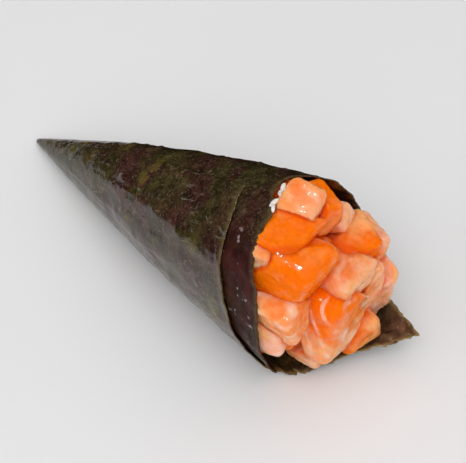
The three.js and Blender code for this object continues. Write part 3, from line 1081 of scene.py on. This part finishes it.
@dataclass
class FleshShaper:
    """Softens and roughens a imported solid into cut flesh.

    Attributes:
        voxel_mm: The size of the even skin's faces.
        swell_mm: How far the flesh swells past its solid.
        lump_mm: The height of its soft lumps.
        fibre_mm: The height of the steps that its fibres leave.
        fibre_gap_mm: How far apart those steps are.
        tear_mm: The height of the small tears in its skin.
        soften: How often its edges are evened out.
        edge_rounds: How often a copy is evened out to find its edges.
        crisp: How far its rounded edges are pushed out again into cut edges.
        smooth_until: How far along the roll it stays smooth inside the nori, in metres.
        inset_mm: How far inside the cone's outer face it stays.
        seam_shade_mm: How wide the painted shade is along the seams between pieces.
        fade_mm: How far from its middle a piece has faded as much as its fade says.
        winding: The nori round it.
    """

    voxel_mm: float = 0.42
    swell_mm: float = 0.9
    lump_mm: float = 0.35
    fibre_mm: float = 0.07
    fibre_gap_mm: float = 2.6
    tear_mm: float = 0.12
    soften: int = 2
    edge_rounds: int = 14
    crisp: float = 0.9
    smooth_until: float = -1.0
    inset_mm: float = 2.0
    seam_shade_mm: float = 1.3
    fade_mm: float = 7.0
    winding: Winding = Winding()

    def even_skin(self, shape: bmesh.types.BMesh) -> bmesh.types.BMesh:
        """Covers a shape with an even skin of small faces.

        Args:
            shape: The shape, which is used up.

        Returns:
            The skin.
        """
        mesh = bpy.data.meshes.new("raw")
        shape.to_mesh(mesh)
        shape.free()
        raw = linked("raw", mesh)
        remesh = raw.modifiers.new("skin", "REMESH")
        remesh.mode = "VOXEL"
        remesh.voxel_size = self.voxel_mm * MM
        evaluated = raw.evaluated_get(bpy.context.evaluated_depsgraph_get())
        skin = bmesh.new()
        skin.from_mesh(evaluated.to_mesh())
        evaluated.to_mesh_clear()
        bpy.data.objects.remove(raw)
        bpy.data.meshes.remove(mesh)
        return skin

    def swollen(self, dice: Dice) -> bmesh.types.BMesh:
        """Copies a piece's solid, lets it swell a little and sets it where it sags to."""
        solid = bmesh.new()
        solid.from_mesh(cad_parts[dice.node].data)
        bmesh.ops.remove_doubles(solid, verts=solid.verts, dist=1e-6)
        solid.normal_update()
        middle = centre(solid)
        for vert in solid.verts:
            grown = vert.co + vert.normal * self.swell_mm * MM - middle
            vert.co = middle + grown * Vector(dice.scaled) + Vector(dice.moved_mm) * MM
        return solid

    def sharpened(self, skin: bmesh.types.BMesh) -> list[float]:
        """Pushes rounded edges out into cut edges.

        Args:
            skin: The skin, which is changed.

        Returns:
            How much of an edge each vertex is on, from 0 to 1.
        """
        before = [vert.co.copy() for vert in skin.verts]
        even_out(skin, self.edge_rounds)
        ridges = []
        for vert, co in zip(skin.verts, before):
            off = co - vert.co
            ridges.append(smoothstep(off.length / MM, 0.12, 0.5))
            vert.co = co + off * self.crisp
        return ridges

    def shape(self, dice: Dice, seed: float, others: list[BVHTree]) -> bmesh.types.BMesh:
        """Shapes one piece of flesh.

        Args:
            dice: The piece.
            seed: Makes it differ from its neighbours.
            others: The pieces that it may lie against.

        Returns:
            The flesh, with what its finish reads as attributes.
        """
        skin = self.even_skin(self.swollen(dice))
        even_out(skin, self.soften)
        ridges = self.sharpened(skin)
        skin.normal_update()
        look = FLESH_OF[dice.cut]
        flesh = skin.verts.layers.float_vector.new("flesh")
        sunk, ridge, pale, rosy, fatty = (
            skin.verts.layers.float.new(name) for name in ("sunk", "ridge", "pale", "rosy", "fatty")
        )
        middle = centre(skin)
        turn = Euler([math.radians(angle) for angle in dice.grain]).to_matrix()
        shift = Vector((seed * 17.3, seed * 5.1, seed * 9.7))
        moved = []
        for vert, on_edge in zip(skin.verts, ridges):
            off = (vert.co - middle) / MM
            local = turn @ off
            vert[flesh] = local + shift
            vert[pale] = look.pale + off.dot(Vector(dice.fade)) / self.fade_mm
            vert[rosy], vert[fatty], vert[ridge] = look.rosy, look.fatty, on_edge
            # Painted shade: the seams against neighbours get the darker red, less on pale pieces.
            vert[sunk] = self.pressed(vert.co, others) * lerp(1.0, 0.55, min(1.0, look.pale))
            moved.append(vert.co + vert.normal * self.height(vert.co, local, seed) * MM)
        tip = self.winding.tip_place()
        for vert, place in zip(skin.verts, moved):
            vert.co = (self.winding.keep_inside(place / MM - tip, self.inset_mm) + tip) * MM
        return skin

    def height(self, place: Vector, local: Vector, seed: float) -> float:
        """How far the flesh stands out of its even skin.

        Args:
            place: Where, in metres.
            local: Where, in millimetres from the piece's middle, with X across its fibres.
            seed: Makes it differ from its neighbours.

        Returns:
            The height, in millimetres.
        """
        free = smoothstep(place.x, self.smooth_until, self.smooth_until + 0.008)
        lump = rough(place / MM, 7.0, seed) + 0.4 * rough(place / MM, 3.0, seed + 1.0)
        flake = local.x + 1.4 * rough(local, 8.0, seed + 2.0)
        step = self.fibre_mm * math.sin(flake * 2.0 * math.pi / self.fibre_gap_mm)
        step *= 0.6 + 0.6 * rough(local, 5.0, seed + 3.0)
        return self.lump_mm * lump * free + step + self.tear_mm * rough(place / MM, 1.3, seed + 4.0)

    def pressed(self, place: Vector, others: list[BVHTree]) -> float:
        """How near a place is to a neighbour, which sets the painted shade in the seams: 1 where they touch, 0
        beyond the seam's width.
        """
        reach = self.seam_shade_mm * MM
        share = 0.0
        for other in others:
            found, normal, _, gap = other.find_nearest(place, reach)
            if found is not None:
                inside = (place - found).dot(normal) < 0.0
                share = max(share, 1.0 if inside else 1.0 - smoothstep(gap, 0.1 * MM, reach))
        return share


@dataclass
class DicedSalmon:
    """The diced pieces that stand out of the mouth."""

    shaper: FleshShaper = field(default_factory=FleshShaper)

    def build(self, material: bpy.types.Material) -> list[bpy.types.Object]:
        """Builds each piece.

        Args:
            material: The salmon's finish.

        Returns:
            The pieces.
        """
        pieces = []
        trees = [BVHTree.FromBMesh(self.shaper.swollen(dice)) for dice in DICE]
        for index, dice in enumerate(DICE):
            skin = self.shaper.shape(dice, 1.0 + index, trees[:index] + trees[index + 1 :])
            pieces.append(finish_piece("flesh_" + dice.name, skin, material, (dice.node,)))
        return pieces


@dataclass
class PackedCore:
    """The pressed filling behind the diced pieces, which shows only between them.

    Attributes:
        shaper: What shapes it, coarser than the pieces and without cut edges.
        lump_size_mm: How wide its lumps are.
        dip_mm: How deep the dips between its lumps are.
        sunk: How much of the seams' painted shade it has, all over.
    """

    shaper: FleshShaper = field(
        default_factory=lambda: FleshShaper(
            voxel_mm=0.9,
            swell_mm=-0.3,
            lump_mm=0.9,
            fibre_mm=0.1,
            soften=3,
            crisp=0.0,
            smooth_until=0.012,
            inset_mm=3.2,
        )
    )
    lump_size_mm: float = 9.0
    dip_mm: float = 1.2
    sunk: float = 0.75

    def build(self, material: bpy.types.Material) -> bpy.types.Object:
        """Builds the core, lumpier than the pieces in front of it, and darkened all over as painted shade.

        Args:
            material: The salmon's finish.

        Returns:
            The piece.
        """
        skin = self.shaper.shape(Dice("core", Cut.DEEP, (0.0, 30.0, 20.0)), 40.0, [])
        sunk = skin.verts.layers.float["sunk"]
        face_x = max(vert.co.x for vert in skin.verts)
        for vert in skin.verts:
            near, next_near = noise.voronoi(vert.co / (self.lump_size_mm * MM))[0][:2]
            dip = self.dip_mm * MM * smoothstep(next_near - near, 0.25, 0.0)
            vert.co -= vert.normal * dip * smoothstep(vert.co.x, face_x - 0.045, face_x - 0.02)
            # Painted shade: the whole core gets the seams' darker red, as it shows only deep between the
            # pieces.
            vert[sunk] = self.sunk
        return finish_piece("flesh_core", skin, material, ("salmon_core",))


# --- the rice ---


@dataclass(frozen=True)
class Grain:
    """One grain of rice.

    Attributes:
        place_mm: Its middle, from the mouth's middle: out of the mouth, across and up.
        length_mm: Its length.
        turned: Degrees about X, Y and Z.
    """

    place_mm: Triple
    length_mm: float
    turned: Triple


@dataclass
class RiceGrains:
    """The few grains that stick out between the salmon and the top of the rim.

    Attributes:
        winding: The nori round them.
        grains: Each grain.
        plumpness: How wide a grain is for its length.
        taper: How much thinner it is at one end.
        bend: How far it is bent, for its length.
    """

    winding: Winding
    grains: tuple[Grain, ...] = (
        Grain((-10.3, -1.1, 27.2), 2.9, (100.0, 0.0, 25.0)),
        Grain((-9.9, -1.9, 26.8), 2.8, (105.0, 0.0, -10.0)),
        Grain((-9.6, -2.9, 26.6), 2.2, (95.0, 10.0, 60.0)),
        Grain((-9.2, -5.6, 26.1), 3.0, (112.0, 0.0, -15.0)),
        Grain((-8.3, -6.9, 25.6), 2.4, (105.0, 20.0, 40.0)),
    )
    plumpness: float = 0.42
    taper: float = 0.25
    bend: float = 0.18

    def build(self, material: bpy.types.Material) -> bpy.types.Object:
        """Builds the grains as one piece.

        Args:
            material: The rice's finish.

        Returns:
            The piece.
        """
        tip = self.winding.tip_place()
        mouth = Vector((self.winding.cone_length, 0.0, self.winding.flat_share * self.winding.half_height))
        shape = bmesh.new()
        for index, grain in enumerate(self.grains):
            made = bmesh.ops.create_uvsphere(shape, u_segments=24, v_segments=16, radius=0.5)
            turn = Euler([math.radians(angle) for angle in grain.turned]).to_matrix()
            place = mouth + tip + Vector(grain.place_mm)
            for vert in made["verts"]:
                body = vert.co.copy()
                thick = self.plumpness * (1.0 - self.taper * body.z)
                bend = self.bend * body.z * body.z
                grown = Vector((body.x * thick + bend, body.y * thick, body.z))
                grown *= 1.0 + 0.06 * rough(body, 0.3, index)
                vert.co = (place + turn @ (grown * grain.length_mm)) * MM
        bmesh.ops.recalc_face_normals(shape, faces=shape.faces)
        return finish_piece("rice_grains", shape, material)


# --- the studio ---


@dataclass
class Studio:
    """The plain pale floor, the soft lights and the camera.

    Attributes:
        azimuth: Where the camera stands round the roll, in degrees.
        elevation: How high it stands, in degrees.
        distance: How far it stands from what it looks at.
        lens: Its focal length, in millimetres.
        aim_mm: What it looks at, from the tip.
        boards: For each board its name, its corners' X and Y, how far it lies below 0, and whether
            gloss shows it.
        lamps: For each soft lamp its name, place, size and power. Gloss doesn't show them.
        tint: The colour of the soft lamps.
        glints: The places of the narrow lamps that give only highlights.
        glint_size: Their width and height.
        glint_power: Their power.
        glint_tint: Their colour, and that of the surroundings.
        ambient: The strength of the surroundings.
    """

    azimuth: float = 43.3
    elevation: float = 48.6
    distance: float = 0.430
    lens: float = 122.4
    aim_mm: tuple[float, float, float] = (81.2, 0.3, 22.0)
    boards: tuple[tuple[str, tuple[float, float, float, float], float, bool], ...] = (
        ("board_near", (-0.25, -0.45, 0.35, 0.028), 0.00002, True),
        ("board_far", (0.02, 0.028, 0.35, 0.30), 0.00002, True),
        ("surround", (-3.0, -3.0, 3.0, 3.0), 0.00004, False),
    )
    lamps: tuple[tuple[str, Triple, float, float], ...] = (
        ("overhead", (-0.15, 0.65, 1.45), 1.5, 2.9),
        ("front", (0.80, -0.60, 1.25), 1.6, 14.8),
        ("fill", (-0.35, -1.05, 1.0), 1.2, 4.4),
    )
    tint: Triple = (1.0, 0.995, 0.995)
    glints: tuple[Triple, ...] = ((0.75, 0.10, 1.2), (0.20, -0.15, 1.4), (0.95, -0.50, 0.95))
    glint_size: tuple[float, float] = (0.06, 0.22)
    glint_power: float = 3.0
    glint_tint: Triple = (1.0, 0.99, 0.98)
    ambient: float = 0.47

    def floor(self) -> None:
        """Lays the board under the roll, and the same pale surface round it."""
        material = bpy.data.materials.new("board")
        material.use_nodes = True
        weave = Weaver(material.node_tree)
        skin = material.node_tree.nodes["Principled BSDF"]
        place = weave.add("TexCoord").outputs["Object"]
        cloud = weave.noise(place, 9.0, 2.0)
        red = weave.ramp(cloud, 0.3, 0.7, 0.795, 0.805)
        blue = weave.ramp(cloud, 0.3, 0.7, 0.80, 0.81)
        pale = weave.add("CombineColor", None, Red=red, Green=red, Blue=blue)
        weave.feed(skin.inputs["Base Color"], pale.outputs[0])
        skin.inputs["Roughness"].default_value = 0.6
        for name, (low_x, low_y, high_x, high_y), sunk, glossy in self.boards:
            shape = bmesh.new()
            bmesh.ops.create_grid(shape, x_segments=1, y_segments=1, size=0.5)
            bmesh.ops.scale(shape, verts=shape.verts, vec=(high_x - low_x, high_y - low_y, 1.0))
            middle = ((low_x + high_x) / 2.0, (low_y + high_y) / 2.0, -sunk)
            bmesh.ops.translate(shape, verts=shape.verts, vec=middle)
            mesh = bpy.data.meshes.new(name)
            shape.to_mesh(mesh)
            shape.free()
            mesh.materials.append(material)
            laid = linked(name, mesh)
            laid.visible_glossy = glossy

    def light(self, name: str, place: Triple, size: float, power: float, tint: Triple) -> bpy.types.Object:
        """Hangs one lamp that looks at the roll.

        Args:
            name: The lamp's name.
            place: Where it hangs.
            size: The width of its face.
            power: Its power, in watts.
            tint: Its colour.

        Returns:
            The lamp.
        """
        lamp = bpy.data.lights.new(name, "AREA")
        lamp.size = size
        lamp.energy = power
        lamp.color = tint
        hung = linked(name, lamp)
        hung.location = place
        hung.rotation_euler = Vector(place).to_track_quat("Z", "Y").to_euler()
        return hung

    def lights(self) -> None:
        """Hangs the lamps and sets the dim surroundings."""
        for name, place, size, power in self.lamps:
            self.light(name, place, size, power, self.tint).visible_glossy = False
        width, height = self.glint_size
        for index, place in enumerate(self.glints):
            glint = self.light(f"glint_{index + 1}", place, width, self.glint_power, self.glint_tint)
            glint.visible_diffuse = False
            glint.data.shape, glint.data.size_y = "RECTANGLE", height
        world = bpy.data.worlds.new("surroundings")
        world.use_nodes = True
        ground = world.node_tree.nodes["Background"]
        ground.inputs["Color"].default_value = (*self.glint_tint, 1.0)
        ground.inputs["Strength"].default_value = self.ambient
        world.cycles_visibility.glossy = False
        bpy.context.scene.world = world

    def camera(self, tip_mm: Vector) -> None:
        """Places the camera.

        Args:
            tip_mm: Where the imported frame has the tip.
        """
        azimuth, elevation = math.radians(self.azimuth), math.radians(self.elevation)
        level = math.cos(elevation)
        back = Vector((math.sin(azimuth) * level, -math.cos(azimuth) * level, math.sin(elevation)))
        data = bpy.data.cameras.new("camera")
        data.lens = self.lens
        data.sensor_width = 36.0
        data.clip_start = 0.01
        camera = linked("camera", data)
        camera.location = (Vector(self.aim_mm) + tip_mm) * MM + back * self.distance
        camera.rotation_euler = back.to_track_quat("Z", "Y").to_euler()
        bpy.context.scene.camera = camera


def main() -> None:
    """Builds the roll and its studio."""
    logging.basicConfig(level=logging.INFO, format="%(name)s %(message)s")
    bpy.context.scene.view_settings.view_transform = "Standard"
    mottle, wet = mottle_effect(), wet_effect()
    winding = Winding()
    LOG.info("tip at %s mm", winding.tip_place())
    dry = NoriFinish().material(mottle, wet)
    damp = NoriFinish("damp nori", smoothest=0.3, roughest=0.5, specular=0.06, bump=0.9)
    soaked = damp.material(mottle, wet)
    NoriSheet(winding).build(dry, soaked)
    flesh = SalmonFinish().material(mottle, wet)
    DicedSalmon().build(flesh)
    PackedCore().build(flesh)
    RiceGrains(winding).build(RiceFinish().material(mottle, wet))
    studio = Studio()
    studio.floor()
    studio.lights()
    studio.camera(winding.tip_place())


if __name__ == "__main__":
    main()
